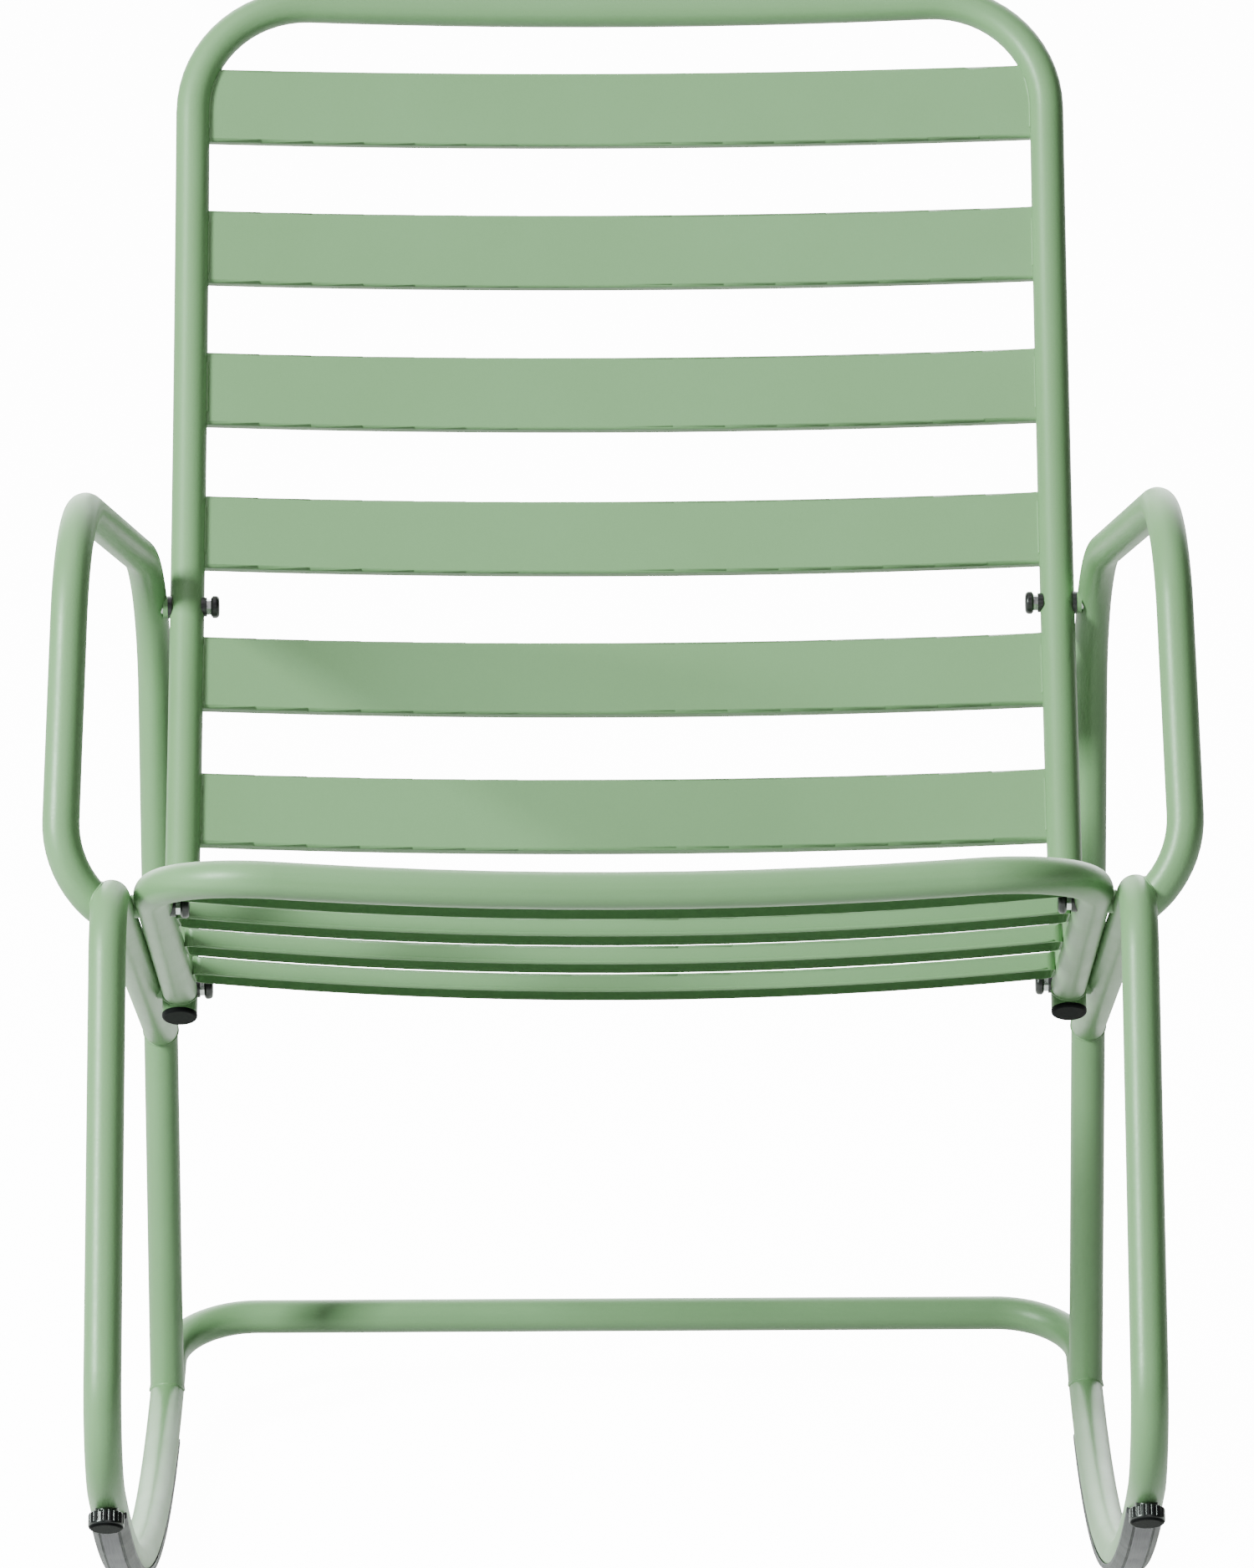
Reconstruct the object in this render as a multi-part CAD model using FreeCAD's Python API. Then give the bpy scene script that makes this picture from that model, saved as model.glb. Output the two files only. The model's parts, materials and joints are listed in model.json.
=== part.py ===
import FreeCAD, Part
import math
import os

V = FreeCAD.Vector

# ---------------------------------------------------------------------------
# Metal rocking chair, all sizes in millimetres.
# +Z is up, the front of the chair faces -Y, the chair is symmetric about X = 0.
# The side view is drawn in its own plane (y back, z up) with the centre of the
# rocker circle at (ROCK_Y, ROLL_R). Leaning the drawing back by REST_TILT about that
# centre gives the pose in which the empty chair balances on its rockers.
# ---------------------------------------------------------------------------

# tube stock
TUBE_R = 11.0            # 22 mm round steel tube
WALL = 1.2
BORE_R = TUBE_R - WALL
COPE_R = TUBE_R + 0.04   # tube ends are notched to this radius for welding

# rest pose
REST_TILT = 12.47         # degrees, empty chair in balance
Y_ORIGIN = 63.56          # moves the bounding box centre to Y = 0

# rockers and side frames
SIDE_X = 300.15          # centre plane of a side frame
ROCKER_R = 850.0         # centreline radius of the rocker
ROCK_Y = 25.0            # centre of the rocker circle, in the drawing
STRIP_DROP = 14.5        # rocker centreline to the running face of the strip
ROLL_R = ROCKER_R + STRIP_DROP
LEG_PT = (-272.0, 353.6)         # a point on the front leg line
LEG_LEAN = 0.2777                # dy/dz of the front leg
RAIL_PT = (-177.0, 413.4)        # a point on the seat support rail
RAIL_SLOPE = -0.172
TOP_BEND_R = 44.0                # front leg into support rail
FOOT_BEND_R = 60.0               # front leg into rocker
REAR_PT = (279.0, 522.0)         # a point on the rear leg line
REAR_LEAN = -0.2207              # dy/dz of the rear leg
SEAM_DEG = 26.6                  # where the stretcher tube plugs into the rocker
STRETCH_START_DEG = 27.1         # end of the rocker curve
STRETCH_BEND_R = 56.0
SPIGOT_LEN_DEG = 2.6
SPIGOT_R = BORE_R - 0.1

# arms (X, y, z of the bend vertices) and bend radii
ARM_V1 = (SIDE_X, 256.1, 625.9)
ARM_V2 = (323.1, -186.6, 654.9)
ARM_V3 = (330.1, -238.2, 422.3)
ARM_END_DIR = (306.0, -227.0, 412.5)
ARM_R = (111.8, 84.4, 56.7)
ARM_END_X = 302.1

# seat frame
SEAT_X = 277.55
SEAT_FRONT = (-268.0, 435.5)     # front rail centreline at the corners
SEAT_SLOPE = -0.199              # dz/dy of the side rails
SEAT_CORNER_R = 74.0
SEAT_BOW_VERTEX = 18.5
SEAT_REAR_Y = 122.0

# back frame
BACK_END = (118.0, 343.2)        # lower tube end
BACK_MID = (279.6, 668.0)
BACK_TOP = (367.0, 997.2)        # top rail centreline at the corners
BACK_CORNER_R = 76.0
BACK_BOW_VERTEX = 30.0
BACK_CURVE_T = 255.0             # tangent length of the long side curve

# slats, pressed steel channels
SHEET = 1.2
BACK_SLAT_W = 50.0
SEAT_SLAT_W = 46.0
FLANGE = 7.0                     # back slats
FLANGE_FRONT = 11.5              # seat slats, front edge
FLANGE_REAR = 9.0                # seat slats, rear edge
FOLD_R = 2.2
PAN_CORNER_R = 6.0               # corners of the seat slats in plan
BOW = 12.8
SLAT_HALF = 270.0
BACK_SLATS = (142.9, 238.0, 335.9, 435.3, 533.2, 630.4)   # along the tube from its lower end
BACK_SLAT_FACE = 2.0             # face in front of the tube centreline
SEAT_SLATS = (71.0, 159.0, 254.0, 351.0)      # along the side rail from the front rail
SEAT_SLAT_FACE = 10.0            # face above the rail centreline
PAN_HALF = SEAT_X - TUBE_R - 0.04

# glide strips
STRIP_REAR_DEG = 20.5
STRIP_STEPS = 124
STRIP_FRONT_DEG = -21.0          # just behind the bumper
STRIP_IN_R = 11.15

# front bumpers
BUMPER_DEG = 22.3                # on the foot bend, from straight down towards the front
BUMPER_R = 10.5
BUMPER_H = 10.0

# bolts joining the side frames to the seat and back: (y, z)
BOLT_BACK = (237.6, 599.8)
BOLT_REAR = (124.5, 359.6)
BOLT_FRONT = (-165.0, 414.6)
BOLT_D = 6.0
HOLE_D = 6.6
INSERT_D = 9.0                   # threaded inserts set in the side frames


# ---------------------------------------------------------------------------
# placing
# ---------------------------------------------------------------------------
_c = math.cos(math.radians(REST_TILT))
_s = math.sin(math.radians(REST_TILT))


def P(x, y, z):
    dy = y - ROCK_Y
    dz = z - ROLL_R
    return V(x, dy * _c + dz * _s + Y_ORIGIN, ROLL_R - dy * _s + dz * _c)


def D(x, y, z):
    return V(x, y * _c + z * _s, -y * _s + z * _c)


CENTRE = (ROCK_Y, ROLL_R)


def on_rocker(deg, r=ROCKER_R):
    a = math.radians(deg)
    return (ROCK_Y + r * math.sin(a), ROLL_R - r * math.cos(a))


# ---------------------------------------------------------------------------
# helpers
# ---------------------------------------------------------------------------
def unit(v):
    w = V(v)
    w.normalize()
    return w


def line(a, b):
    return Part.LineSegment(a, b).toShape()


def arc(a, m, b):
    return Part.Arc(a, m, b).toShape()


def fillet_data(a, b, c, r):
    d1 = unit(b - a)
    d2 = unit(c - b)
    ang = math.acos(max(-1.0, min(1.0, d1.dot(d2))))
    t = r * math.tan(ang / 2.0)
    p1 = b - d1 * t
    n = unit(d2 - d1 * d1.dot(d2))
    ctr = p1 + n * r
    return p1, ctr, n, d1, ang, t


def arc_at(ctr, n, d1, r, q):
    return ctr - n * (r * math.cos(q)) + d1 * (r * math.sin(q))


def route(pts, radii):
    """Straight runs joined by tangent arcs."""
    edges = []
    cur = pts[0]
    for i in range(1, len(pts) - 1):
        p1, ctr, n, d1, ang, t = fillet_data(pts[i - 1], pts[i], pts[i + 1], radii[i - 1])
        if (p1 - cur).Length > 1e-4:
            edges.append(line(cur, p1))
        pm = arc_at(ctr, n, d1, radii[i - 1], ang / 2)
        p2 = arc_at(ctr, n, d1, radii[i - 1], ang)
        edges.append(arc(p1, pm, p2))
        cur = p2
    if (pts[-1] - cur).Length > 1e-4:
        edges.append(line(cur, pts[-1]))
    return edges


def pipe(edges, r):
    w = Part.Wire(edges)
    e0 = edges[0]
    p0 = e0.valueAt(e0.FirstParameter)
    t0 = e0.tangentAt(e0.FirstParameter)
    prof = Part.Wire([Part.makeCircle(r, p0, t0)])
    mk = Part.BRepOffsetAPI.MakePipeShell(w)
    mk.setFrenetMode(False)
    mk.add(prof)
    mk.build()
    mk.makeSolid()
    s = mk.shape()
    if s.Volume < 0:
        s.reverse()
    return s


def biggest(shape):
    sol = sorted(shape.Solids, key=lambda q: q.Volume)
    return sol[-1]


def tube(edges, r=TUBE_R, wall=WALL):
    return biggest(pipe(edges, r).cut(pipe(edges, r - wall)))


def cyl_x(x0, x1, y, z, r):
    """Cylinder along X between two X values, at a drawing point."""
    a = P(min(x0, x1), y, z)
    return Part.makeCylinder(r, abs(x1 - x0), a, V(1, 0, 0))


def mirror(s):
    return s.mirror(V(0, 0, 0), V(1, 0, 0))


def keep(s):
    s = biggest(s) if s.ShapeType != "Solid" else s
    return s


os.makedirs("parts", exist_ok=True)
NODES = {}


def node(name, *solids):
    flat = []
    for s in solids:
        flat += s.Solids
    shape = flat[0] if len(flat) == 1 else Part.makeCompound(flat)
    for s in flat:
        if not s.isValid() or not s.isClosed() or s.Volume <= 0:
            print("CHECK", name, s.isValid(), s.isClosed(), s.Volume)
    NODES[name] = shape
    shape.exportStep("parts/%s.step" % name)


# ---------------------------------------------------------------------------
# side frame, right hand (+X)
# ---------------------------------------------------------------------------
def leg_y(z):
    return LEG_PT[0] + LEG_LEAN * (z - LEG_PT[1])


def rail_z(y):
    return RAIL_PT[1] + RAIL_SLOPE * (y - RAIL_PT[0])


def rear_y(z):
    return REAR_PT[0] + REAR_LEAN * (z - REAR_PT[1])


def cross(f, g, lo, hi):
    for _ in range(80):
        mid = 0.5 * (lo + hi)
        if f(lo) * f(mid) <= 0:
            hi = mid
        else:
            lo = mid
    return 0.5 * (lo + hi)


# leg line meets rail line
z_top = cross(lambda z: z - rail_z(leg_y(z)), None, 380.0, 480.0)
TOP_V = (leg_y(z_top), z_top)
# rail line meets rear leg line
z_join = cross(lambda z: z - rail_z(rear_y(z)), None, 280.0, 380.0)
JOIN = (rear_y(z_join), z_join)

# foot bend: tangent to the leg line and, from inside, to the rocker circle
ll = math.hypot(LEG_LEAN, 1.0)
leg_d = (-LEG_LEAN / ll, -1.0 / ll)
leg_n = (1.0 / ll, -LEG_LEAN / ll)


def foot_centre(t):
    return (LEG_PT[0] + leg_d[0] * t + leg_n[0] * FOOT_BEND_R,
            LEG_PT[1] + leg_d[1] * t + leg_n[1] * FOOT_BEND_R)


def foot_gap(t):
    cx, cz = foot_centre(t)
    return math.hypot(cx - ROCK_Y, cz - ROLL_R) - (ROCKER_R - FOOT_BEND_R)


t_leg = cross(foot_gap, None, 0.0, 400.0)
FOOT_C = foot_centre(t_leg)
LEG_T = (LEG_PT[0] + leg_d[0] * t_leg, LEG_PT[1] + leg_d[1] * t_leg)
FOOT_T_DEG = -math.degrees(math.atan2(ROCK_Y - FOOT_C[0], ROLL_R - FOOT_C[1]))   # negative: front


def on_foot(deg, r):
    """Point on the foot bend, deg measured from straight down towards the front."""
    a = math.radians(deg)
    return (FOOT_C[0] - r * math.sin(a), FOOT_C[1] - r * math.cos(a))


FOOT_START_DEG = 90.0 + math.degrees(math.atan2(leg_n[1], leg_n[0]))   # at the leg


def side_edges(x, seam_deg):
    p0 = P(x, *JOIN)
    pv = P(x, *TOP_V)
    pl = P(x, *LEG_T)
    e = []
    p1, ctr, n, d1, ang, t = fillet_data(p0, pv, pl, TOP_BEND_R)
    e.append(line(p0, p1))
    p2 = arc_at(ctr, n, d1, TOP_BEND_R, ang)
    e.append(arc(p1, arc_at(ctr, n, d1, TOP_BEND_R, ang / 2), p2))
    e.append(line(p2, pl))
    mid = 0.5 * (FOOT_START_DEG - FOOT_T_DEG)
    e.append(arc(pl, P(x, *on_foot(mid, FOOT_BEND_R)), P(x, *on_rocker(FOOT_T_DEG))))
    e.append(arc(P(x, *on_rocker(FOOT_T_DEG)),
                 P(x, *on_rocker(0.5 * (FOOT_T_DEG + seam_deg))),
                 P(x, *on_rocker(seam_deg))))
    return e


side_route = side_edges(SIDE_X, SEAM_DEG)
side_out = pipe(side_route, TUBE_R)
side_cope = pipe(side_route, COPE_R)
# the stretches that other tubes are notched against
leg_top_cope = pipe([line(P(SIDE_X, 0.0, rail_z(0.0)),
                          side_route[0].valueAt(side_route[0].LastParameter)),
                     side_route[1], side_route[2]], COPE_R)
rocker_cope = pipe([side_route[4]], COPE_R)

# arm and rear leg, one bent tube
z_foot = cross(lambda z: math.hypot(rear_y(z) - ROCK_Y, z - ROLL_R) - ROCKER_R, None, 40.0, 200.0)
ARM_FOOT = (SIDE_X, rear_y(z_foot), z_foot)
a_pts = [P(*ARM_FOOT), P(*ARM_V1), P(*ARM_V2), P(*ARM_V3), P(*ARM_END_DIR)]


def arm_edges():
    e = []
    cur = a_pts[0]
    for i in (1, 2, 3):
        p1, ctr, n, d1, ang, t = fillet_data(a_pts[i - 1], a_pts[i], a_pts[i + 1], ARM_R[i - 1])
        e.append(line(cur, p1))
        end = ang
        if i == 3:      # the last bend runs into the leg and stops at its centre plane
            end = cross(lambda q: arc_at(ctr, n, d1, ARM_R[2], q).x - ARM_END_X, None, 0.3, ang)
        p2 = arc_at(ctr, n, d1, ARM_R[i - 1], end)
        e.append(arc(p1, arc_at(ctr, n, d1, ARM_R[i - 1], end / 2), p2))
        cur = p2
    return e


arm_route = arm_edges()
arm_out = pipe(arm_route, TUBE_R)
arm_cope = pipe(arm_route, COPE_R)
# the stretch of rear leg that the support rail is notched against
rear_leg_cope = Part.makeCylinder(COPE_R, 140.0, P(SIDE_X, rear_y(z_join - 68.0), z_join - 68.0),
                                  D(0, REAR_LEAN, 1.0))

# ---------------------------------------------------------------------------
# back frame and seat frame
# ---------------------------------------------------------------------------
bt = unit(V(0, BACK_TOP[0] - BACK_MID[0], BACK_TOP[1] - BACK_MID[1]))     # up the back at the top
bn = V(0, bt.z, -bt.y)                                                    # backwards
b_lo = unit(V(0, BACK_MID[0] - BACK_END[0], BACK_MID[1] - BACK_END[1]))
turn = math.acos(bt.dot(b_lo))
BACK_CURVE_R = BACK_CURVE_T / math.tan(turn / 2)
top_bow = (BACK_TOP[0] + bn.y * BACK_BOW_VERTEX, BACK_TOP[1] + bn.z * BACK_BOW_VERTEX)
half_t = math.atan2(BACK_BOW_VERTEX, SEAT_X)
back_pts = [P(-SEAT_X, *BACK_END), P(-SEAT_X, *BACK_MID), P(-SEAT_X, *BACK_TOP), P(0, *top_bow),
            P(SEAT_X, *BACK_TOP), P(SEAT_X, *BACK_MID), P(SEAT_X, *BACK_END)]
back_route = route(back_pts, [BACK_CURVE_R, BACK_CORNER_R, 185.0 / math.tan(half_t),
                              BACK_CORNER_R, BACK_CURVE_R])
back_out = pipe(back_route, TUBE_R)
back_cope = pipe(back_route, COPE_R)

sd = unit(V(0, 1.0, SEAT_SLOPE))            # backwards along the seat
sn = V(0, -sd.z, sd.y)                      # up, square to the seat
front_bow = (SEAT_FRONT[0] - sn.y * SEAT_BOW_VERTEX, SEAT_FRONT[1] - sn.z * SEAT_BOW_VERTEX)
seat_rear = (SEAT_REAR_Y, SEAT_FRONT[1] + SEAT_SLOPE * (SEAT_REAR_Y - SEAT_FRONT[0]))
half_s = math.atan2(SEAT_BOW_VERTEX, SEAT_X)
seat_pts = [P(-SEAT_X, *seat_rear), P(-SEAT_X, *SEAT_FRONT), P(0, *front_bow),
            P(SEAT_X, *SEAT_FRONT), P(SEAT_X, *seat_rear)]
seat_route = route(seat_pts, [SEAT_CORNER_R, 190.0 / math.tan(half_s), SEAT_CORNER_R])
seat_out = pipe(seat_route, TUBE_R)
seat_cope = pipe(seat_route, COPE_R)


# point and direction at a length along the back tube, in the drawing
def back_at(s):
    e0 = V(0, BACK_END[0], BACK_END[1])
    em = V(0, BACK_MID[0], BACK_MID[1])
    et = V(0, BACK_TOP[0], BACK_TOP[1])
    p1, ctr, n, d1, ang, t = fillet_data(e0, em, et, BACK_CURVE_R)
    l1 = (p1 - e0).Length
    if s <= l1:
        return e0 + d1 * s, d1
    l2 = BACK_CURVE_R * ang
    if s <= l1 + l2:
        q = (s - l1) / BACK_CURVE_R
        return arc_at(ctr, n, d1, BACK_CURVE_R, q), d1 * math.cos(q) + n * math.sin(q)
    p2 = arc_at(ctr, n, d1, BACK_CURVE_R, ang)
    d2 = unit(et - em)
    return p2 + d2 * (s - l1 - l2), d2


# ---------------------------------------------------------------------------
# slats: bowed channels with both edges folded over
# ---------------------------------------------------------------------------
def channel(org, u, w, width, flange):
    """Channel face; u runs across the slat, w is the way the flanges point."""
    h = width / 2.0
    ri = FOLD_R - SHEET
    k = math.sqrt(0.5)

    def q(a, b):
        return org + u * a + w * b
    e = [line(q(-h, flange), q(-h, FOLD_R)),
         arc(q(-h, FOLD_R), q(-h + FOLD_R * (1 - k), FOLD_R * (1 - k)), q(-h + FOLD_R, 0)),
         line(q(-h + FOLD_R, 0), q(h - FOLD_R, 0)),
         arc(q(h - FOLD_R, 0), q(h - FOLD_R * (1 - k), FOLD_R * (1 - k)), q(h, FOLD_R)),
         line(q(h, FOLD_R), q(h, flange)),
         line(q(h, flange), q(h - SHEET, flange)),
         line(q(h - SHEET, flange), q(h - SHEET, FOLD_R)),
         arc(q(h - SHEET, FOLD_R), q(h - FOLD_R + ri * k, FOLD_R - ri * k), q(h - FOLD_R, SHEET)),
         line(q(h - FOLD_R, SHEET), q(-h + FOLD_R, SHEET)),
         arc(q(-h + FOLD_R, SHEET), q(-h + FOLD_R - ri * k, FOLD_R - ri * k), q(-h + SHEET, FOLD_R)),
         line(q(-h + SHEET, FOLD_R), q(-h + SHEET, flange)),
         line(q(-h + SHEET, flange), q(-h, flange))]
    return Part.Face(Part.Wire(e))


def slat(pt, u, w, face, width, cope):
    """pt: rail centreline point (X = 0); face: how far the slat face stands off against w."""
    half = SEAT_X - TUBE_R
    rad = (half * half + BOW * BOW) / (2.0 * BOW)
    org = pt + w * (BOW - face)
    f = channel(org, u, w, width, FLANGE)
    axis_pt = org - w * rad
    ang = math.degrees(math.asin(SLAT_HALF / rad))
    f.rotate(axis_pt, u, -ang)
    s = f.revolve(axis_pt, u, 2 * ang)
    if s.Volume < 0:
        s.reverse()
    return biggest(s.cut(cope))


def rounded_prism(pt, u, w, half_l, half_w, r):
    """Upright block with a rounded-rectangle plan."""
    x = V(1, 0, 0)
    k = r * (1 - math.sqrt(0.5))
    base = pt - w * 30.0

    def q(a, b):
        return base + x * a + u * b
    e = []
    for sx, sw, first in ((1, 1, 0), (-1, 1, 1), (-1, -1, 0), (1, -1, 1)):
        a = q(sx * half_l, sw * (half_w - r))
        m = q(sx * (half_l - k), sw * (half_w - k))
        b = q(sx * (half_l - r), sw * half_w)
        e.append(arc(b, m, a) if first else arc(a, m, b))
    corners = [(e[i].valueAt(e[i].FirstParameter), e[i].valueAt(e[i].LastParameter))
               for i in range(4)]
    allp = []
    for i in range(4):
        allp.append(e[i])
        allp.append(line(corners[i][1], corners[(i + 1) % 4][0]))
    return Part.Face(Part.Wire(allp)).extrude(w * 70.0)


def pan(pt, u, w):
    """Seat slat: pressed tray, edges turned down all round, bowed down in the middle."""
    half = SEAT_X - TUBE_R
    rad = (half * half + BOW * BOW) / (2.0 * BOW)
    org = pt + w * (BOW - SEAT_SLAT_FACE)
    axis_pt = org - w * rad
    ang = math.degrees(math.asin(SLAT_HALF / rad))
    h = SEAT_SLAT_W / 2.0
    k = math.sqrt(0.5)

    def body(inset, front, rear):
        hh = h - inset
        r = FOLD_R - inset

        def q(a, b):
            return org + u * a + w * b
        e = [line(q(-hh, front), q(-hh, FOLD_R)),
             arc(q(-hh, FOLD_R), q(-hh + r * (1 - k), FOLD_R - r * k), q(-hh + r, inset)),
             line(q(-hh + r, inset), q(hh - r, inset)),
             arc(q(hh - r, inset), q(hh - r * (1 - k), FOLD_R - r * k), q(hh, FOLD_R)),
             line(q(hh, FOLD_R), q(hh, rear)),
             line(q(hh, rear), q(-hh, front))]
        f = Part.Face(Part.Wire(e))
        f.rotate(axis_pt, u, -ang)
        s = f.revolve(axis_pt, u, 2 * ang)
        if s.Volume < 0:
            s.reverse()
        return s.common(rounded_prism(pt, u, w, PAN_HALF - inset, hh, PAN_CORNER_R - inset))
    outer = body(0.0, FLANGE_FRONT, FLANGE_REAR)
    inner = body(SHEET, FLANGE_FRONT + 6.0, FLANGE_REAR + 6.0)
    return biggest(outer.cut(inner))


back_slats = []
for i in range(6):
    q, tdir = back_at(BACK_SLATS[5 - i])
    pt = P(0, q.y, q.z)
    u = D(0, tdir.y, tdir.z)
    w = D(0, tdir.z, -tdir.y)
    back_slats.append(slat(pt, u, w, BACK_SLAT_FACE, BACK_SLAT_W, back_cope))
    node("back_slat_%d" % (i + 1), back_slats[-1])

# the four seat slats are one pressing, repeated along the rails
seat_u = D(0, sd.y, sd.z)
pressing = pan(V(0, 0, 0), V(0, 1, 0), V(0, 0, -1))
seat_turn = math.degrees(math.atan2(seat_u.z, seat_u.y))
seat_slats = []
for i in range(4):
    d = SEAT_SLATS[i]
    one = pressing.copy()
    one.rotate(V(0, 0, 0), V(1, 0, 0), seat_turn)
    one.translate(P(0, SEAT_FRONT[0] + sd.y * d, SEAT_FRONT[1] + sd.z * d))
    seat_slats.append(one)
    node("seat_slat_%d" % (i + 1), one)

# ---------------------------------------------------------------------------
# tubes, notched and drilled
# ---------------------------------------------------------------------------
BOLTS = (BOLT_BACK, BOLT_REAR, BOLT_FRONT)
holes_r = [cyl_x(240.0, 296.0, y, z, HOLE_D / 2) for (y, z) in BOLTS]
holes_all = holes_r + [mirror(h) for h in holes_r]
# insert holes, through the inner wall of the side frame tubes only
ins_r = [cyl_x(280.0, SIDE_X, y, z, INSERT_D / 2 + 0.05) for (y, z) in BOLTS]

side_tube = biggest(side_out.cut(pipe(side_route, BORE_R)))
side_tube = biggest(side_tube.cut(rear_leg_cope))

# bumper hole in the foot bend and screw hole at the stretcher joint
bp = on_foot(BUMPER_DEG, FOOT_BEND_R)
bd = D(0, -math.sin(math.radians(BUMPER_DEG)), -math.cos(math.radians(BUMPER_DEG)))
bumper_base = P(SIDE_X, *bp)
stem_hole = Part.makeCylinder(3.1, 30.0, bumper_base, bd)
SCREW_DEG = 25.75
sp = on_rocker(SCREW_DEG)
sa = math.radians(SCREW_DEG)
sdv = D(0, -math.sin(sa), math.cos(sa))      # up, square to the rocker
screw_c = P(SIDE_X, *sp)
screw_hole = Part.makeCylinder(2.6, 20.0, screw_c, sdv)
side_tube = biggest(side_tube.cut(Part.makeCompound([stem_hole, screw_hole] + ins_r[1:])))

arm_tube = biggest(arm_out.cut(pipe(arm_route, BORE_R)))
arm_tube = biggest(biggest(arm_tube.cut(leg_top_cope)).cut(rocker_cope))
arm_tube = biggest(arm_tube.cut(ins_r[0]))

back_tube = biggest(back_out.cut(pipe(back_route, BORE_R)))
seat_tube = biggest(seat_out.cut(pipe(seat_route, BORE_R)))
seat_tube = biggest(seat_tube.cut(back_cope))
for h in holes_all:
    back_tube = biggest(back_tube.cut(h))
    seat_tube = biggest(seat_tube.cut(h))

node("back_frame_tube", back_tube)
node("seat_frame_tube", seat_tube)
node("right_rocker_leg_tube", side_tube)
node("left_rocker_leg_tube", mirror(side_tube))
node("right_arm_rear_leg_tube", arm_tube)
node("left_arm_rear_leg_tube", mirror(arm_tube))

# ---------------------------------------------------------------------------
# rear stretcher: rocker curve, bend, straight, bend, rocker curve, with spigots
# ---------------------------------------------------------------------------
a_s = math.radians(STRETCH_START_DEG)
ps = on_rocker(STRETCH_START_DEG)
tan_s = (math.cos(a_s), math.sin(a_s))
corner = (ps[0] + tan_s[0] * STRETCH_BEND_R, ps[1] + tan_s[1] * STRETCH_BEND_R)


def stretcher_edges(start_deg):
    e = []
    m = 0.5 * (start_deg + STRETCH_START_DEG)
    e.append(arc(P(SIDE_X, *on_rocker(start_deg)), P(SIDE_X, *on_rocker(m)), P(SIDE_X, *ps)))
    p1, ctr, n, d1, ang, t = fillet_data(P(SIDE_X, *ps), P(SIDE_X, *corner), P(0, *corner),
                                         STRETCH_BEND_R)
    p2 = arc_at(ctr, n, d1, STRETCH_BEND_R, ang)
    pm = arc_at(ctr, n, d1, STRETCH_BEND_R, ang / 2)
    e.append(arc(p1, pm, p2))
    q2, qm, q1 = V(-p2.x, p2.y, p2.z), V(-pm.x, pm.y, pm.z), V(-p1.x, p1.y, p1.z)
    e.append(line(p2, q2))
    e.append(arc(q2, qm, q1))
    e.append(arc(P(-SIDE_X, *ps), P(-SIDE_X, *on_rocker(m)), P(-SIDE_X, *on_rocker(start_deg))))
    return e


st_out = pipe(stretcher_edges(SEAM_DEG), TUBE_R)
sp_edges = [arc(P(SIDE_X, *on_rocker(SEAM_DEG - SPIGOT_LEN_DEG)),
                P(SIDE_X, *on_rocker(SEAM_DEG - 0.5 * SPIGOT_LEN_DEG + 0.2)),
                P(SIDE_X, *on_rocker(SEAM_DEG + 0.4)))]
spig = pipe(sp_edges, SPIGOT_R)
st_bore = pipe(stretcher_edges(SEAM_DEG - SPIGOT_LEN_DEG), SPIGOT_R - WALL)
stretcher = st_out.fuse([spig, mirror(spig)])
stretcher = biggest(stretcher.cut(st_bore))
pilot = Part.makeCylinder(2.0, 20.0, screw_c, sdv)
stretcher = biggest(stretcher.cut(Part.makeCompound([pilot, mirror(pilot)])))
node("rear_stretcher_tube", stretcher)

# pan-head screws holding the spigots, from the inner side of each rocker
head_base = screw_c + sdv * (TUBE_R + 0.02)
head = Part.makeCylinder(4.6, 2.6, head_base, sdv)
head = head.makeFillet(1.4, [e for e in head.Edges
                             if e.BoundBox.Center.sub(head_base).dot(sdv) > 2.0
                             and e.Curve.TypeId == "Part::GeomCircle"])
slot1 = Part.makeBox(5.0, 1.0, 3.0, V(-2.5, -0.5, 0))
slot2 = Part.makeBox(1.0, 5.0, 3.0, V(-0.5, -2.5, 0))
for sl in (slot1, slot2):
    sl.Placement = FreeCAD.Placement(head_base + sdv * 1.4,
                                     FreeCAD.Rotation(V(0, 0, 1), sdv)).multiply(sl.Placement)
shank = Part.makeCylinder(1.9, TUBE_R - 6.0, screw_c + sdv * 6.0, sdv)
screw = biggest(head.fuse(shank).cut(Part.makeCompound([slot1, slot2])))
node("stretcher_screws", screw, mirror(screw))


# ---------------------------------------------------------------------------
# grey glide strips clipped under the rockers
# ---------------------------------------------------------------------------
def strip_face(origin, out):
    """Section in the plane of X and the outward direction."""
    xx = V(1, 0, 0)
    half = [(4.9, STRIP_DROP), (5.4, 13.1), (6.0, 13.1), (6.6, 13.5), (10.9, 9.0), (10.9, 6.4),
            (10.3, 5.7)]
    out_pts = [(-a, b) for a, b in reversed(half)] + half
    q = [origin + xx * a + out * b for a, b in out_pts]
    e = [line(q[i], q[i + 1]) for i in range(len(q) - 1)]
    ix = 8.9
    ib = math.sqrt(STRIP_IN_R ** 2 - ix ** 2)
    i0 = origin + xx * ix + out * ib
    i1 = origin + xx * -ix + out * ib
    e.append(line(q[-1], i0))
    e.append(arc(i0, origin + out * STRIP_IN_R, i1))
    e.append(line(i1, q[0]))
    return Part.Face(Part.Wire(e))


fa = math.radians(STRIP_FRONT_DEG)
f0 = strip_face(P(SIDE_X, *on_rocker(STRIP_FRONT_DEG)), D(0, math.sin(fa), -math.cos(fa)))
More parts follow.
